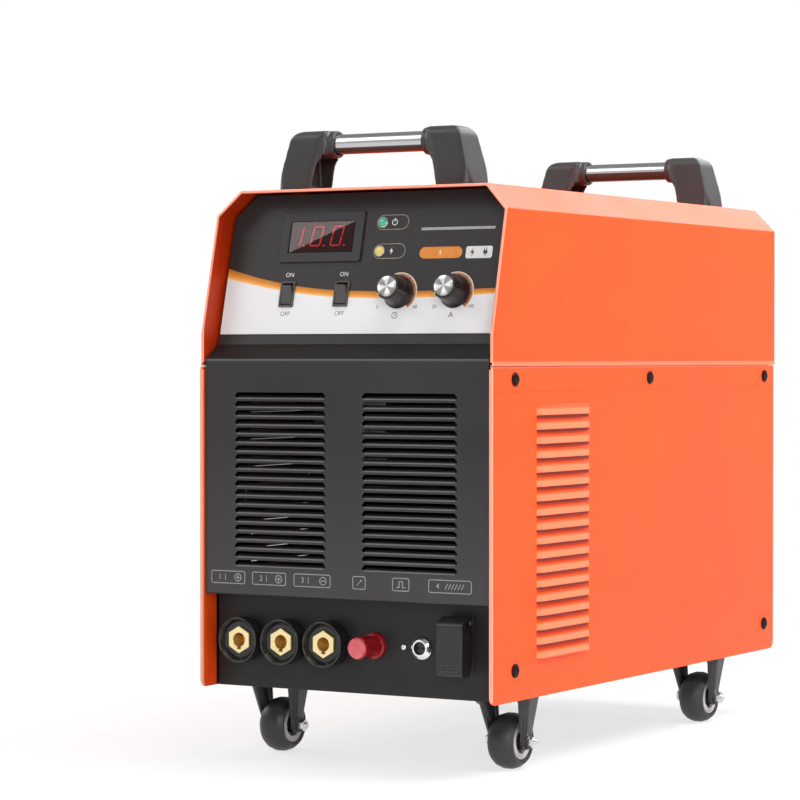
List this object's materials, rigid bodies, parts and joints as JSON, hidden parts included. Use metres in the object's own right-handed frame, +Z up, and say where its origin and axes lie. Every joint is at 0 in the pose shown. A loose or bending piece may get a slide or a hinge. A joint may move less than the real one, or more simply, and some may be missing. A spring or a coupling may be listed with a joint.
{
  "type": "plasma cutter unit",
  "caption": "Wheeled air plasma cutter power source with louvred sheet-metal case, sloped control panel, round output sockets, torch connector cover, tube handles and swivel casters.",
  "frame": {"origin": "on the floor under the middle of the unit, at the bottom centre of its bounding box", "axes": "+Z up; +X to the right of someone facing the control panel; the front faces -Y"},
  "size_m": [0.3218, 0.655, 0.5964],
  "materials": {
    "orange_paint": "fine orange powder coat, satin",
    "black_paint": "black powder coat, satin",
    "zinc_sheet": "galvanised sheet",
    "printed_film": "printed polycarbonate film",
    "meter_plastic": "moulded, gloss",
    "smoked_window": "smoked red window",
    "lamp_lens": "clear lens",
    "black_plastic": "moulded, fine grain",
    "knob_plastic": "moulded body with a turned cap",
    "board": "green solder mask",
    "red_plastic": "translucent red",
    "plated_shell": "bright nickel plate",
    "brass": "turned",
    "handle_plastic": "glass-filled nylon, fine grain",
    "brushed_tube": "brushed along the tube",
    "black_screw": "black oxide",
    "cast_aluminium": "die cast",
    "wound_core": "enamelled copper on a ferrite core",
    "plain_aluminium": "extruded",
    "fork_paint": "black paint",
    "bright_bolt": "zinc plate",
    "wheel_rubber": "charcoal tread on a grey core"
  },
  "bodies": {
    "case": {"top_cover": "orange_paint", "side_panel_left": "orange_paint", "side_panel_right": "orange_paint", "front_panel": "black_paint", "rear_panel": "black_paint", "rear_cowl": "black_paint", "base_tray": "zinc_sheet", "inner_shelf": "zinc_sheet", "caster_plates": "zinc_sheet", "control_overlay": "printed_film", "meter_bezel": "meter_plastic", "meter_window": "smoked_window", "indicator_lamps": "lamp_lens", "rocker_frames": "black_plastic", "socket_collars": "black_plastic", "torch_cover_base": "black_plastic", "cable_gland": "black_plastic", "mains_breaker": "black_plastic", "fan_frames": "black_plastic", "control_board": "board", "inverter_board": "board", "pilot_post": "red_plastic", "torch_switch_socket": "plated_shell", "socket_inserts": "brass", "torch_terminal": "brass", "air_inlet": "brass", "gas_valve": "brass", "earth_stud": "brass", "front_handle_bracket_left": "handle_plastic", "front_handle_bracket_right": "handle_plastic", "rear_handle_bracket_left": "handle_plastic", "rear_handle_bracket_right": "handle_plastic", "front_handle_bar": "brushed_tube", "rear_handle_bar": "brushed_tube", "case_screws": "black_screw", "air_compressor": "cast_aluminium", "power_transformer": "wound_core", "output_reactor": "wound_core", "heatsink": "plain_aluminium"},
    "fork_front_left": {"caster_fork_front_left": "fork_paint", "caster_axle_front_left": "bright_bolt"},
    "wheel_front_left": {"caster_wheel_front_left": "wheel_rubber"},
    "fork_front_right": {"caster_fork_front_right": "fork_paint", "caster_axle_front_right": "bright_bolt"},
    "wheel_front_right": {"caster_wheel_front_right": "wheel_rubber"},
    "fork_rear_left": {"caster_fork_rear_left": "fork_paint", "caster_axle_rear_left": "bright_bolt"},
    "wheel_rear_left": {"caster_wheel_rear_left": "wheel_rubber"},
    "fork_rear_right": {"caster_fork_rear_right": "fork_paint", "caster_axle_rear_right": "bright_bolt"},
    "wheel_rear_right": {"caster_wheel_rear_right": "wheel_rubber"},
    "delay_knob": {"delay_knob": "knob_plastic"},
    "current_knob": {"current_knob": "knob_plastic"},
    "air_source_rocker": {"air_source_rocker": "black_plastic"},
    "gas_test_rocker": {"gas_test_rocker": "black_plastic"},
    "torch_cover_flap": {"torch_cover_flap": "black_plastic"},
    "pilot_post_knob": {"pilot_post_knob": "red_plastic"},
    "fan_rotor_left": {"fan_rotor_left": "black_plastic"},
    "fan_rotor_right": {"fan_rotor_right": "black_plastic"},
    "breaker_lever": {"breaker_lever": "black_plastic"}
  },
  "joints": [
    {"name": "swivel_front_left", "type": "hinge", "parent": "case", "child": "fork_front_left", "pos_m": [-0.1255, -0.2295, 0.073], "axis": [0, 0, 1], "continuous": true},
    {"name": "roll_front_left", "type": "hinge", "parent": "fork_front_left", "child": "wheel_front_left", "pos_m": [-0.1255, -0.2235, 0.026], "axis": [1, 0, 0], "continuous": true},
    {"name": "swivel_front_right", "type": "hinge", "parent": "case", "child": "fork_front_right", "pos_m": [0.1255, -0.2295, 0.073], "axis": [0, 0, 1], "continuous": true},
    {"name": "roll_front_right", "type": "hinge", "parent": "fork_front_right", "child": "wheel_front_right", "pos_m": [0.1255, -0.2235, 0.026], "axis": [1, 0, 0], "continuous": true},
    {"name": "swivel_rear_left", "type": "hinge", "parent": "case", "child": "fork_rear_left", "pos_m": [-0.1255, 0.1865, 0.073], "axis": [0, 0, 1], "continuous": true},
    {"name": "roll_rear_left", "type": "hinge", "parent": "fork_rear_left", "child": "wheel_rear_left", "pos_m": [-0.1255, 0.1925, 0.026], "axis": [1, 0, 0], "continuous": true},
    {"name": "swivel_rear_right", "type": "hinge", "parent": "case", "child": "fork_rear_right", "pos_m": [0.1255, 0.1865, 0.073], "axis": [0, 0, 1], "continuous": true},
    {"name": "roll_rear_right", "type": "hinge", "parent": "fork_rear_right", "child": "wheel_rear_right", "pos_m": [0.1255, 0.1925, 0.026], "axis": [1, 0, 0], "continuous": true},
    {"name": "delay_knob_turn", "type": "hinge", "parent": "case", "child": "delay_knob", "pos_m": [0.04, -0.2821, 0.4413], "axis": [0, -0.9703, 0.2419], "range_deg": [-270, 30]},
    {"name": "current_knob_turn", "type": "hinge", "parent": "case", "child": "current_knob", "pos_m": [0.0998, -0.2821, 0.4413], "axis": [0, -0.9703, 0.2419], "range_deg": [-270, 30]},
    {"name": "air_source_rocker_tip", "type": "hinge", "parent": "case", "child": "air_source_rocker", "pos_m": [-0.082, -0.28164, 0.44067], "axis": [1, 0, 0], "range_deg": [-24, 0]},
    {"name": "gas_test_rocker_tip", "type": "hinge", "parent": "case", "child": "gas_test_rocker", "pos_m": [-0.022, -0.28164, 0.44067], "axis": [1, 0, 0], "range_deg": [-24, 0]},
    {"name": "torch_cover_swing", "type": "hinge", "parent": "case", "child": "torch_cover_flap", "pos_m": [0.1135, -0.304, 0.1415], "axis": [-1, 0, 0], "range_deg": [0, 90]},
    {"name": "pilot_post_turn", "type": "hinge", "parent": "case", "child": "pilot_post_knob", "pos_m": [0.0212, -0.3085, 0.115], "axis": [0, -1, 0], "range_deg": [0, 720]},
    {"name": "fan_spin_left", "type": "hinge", "parent": "case", "child": "fan_rotor_left", "pos_m": [-0.0625, 0.2815, 0.295], "axis": [0, 1, 0], "continuous": true},
    {"name": "fan_spin_right", "type": "hinge", "parent": "case", "child": "fan_rotor_right", "pos_m": [0.0625, 0.2815, 0.295], "axis": [0, 1, 0], "continuous": true},
    {"name": "breaker_throw", "type": "hinge", "parent": "case", "child": "breaker_lever", "pos_m": [-0.078, 0.2995, 0.441], "axis": [1, 0, 0], "range_deg": [0, 44]}
  ]
}
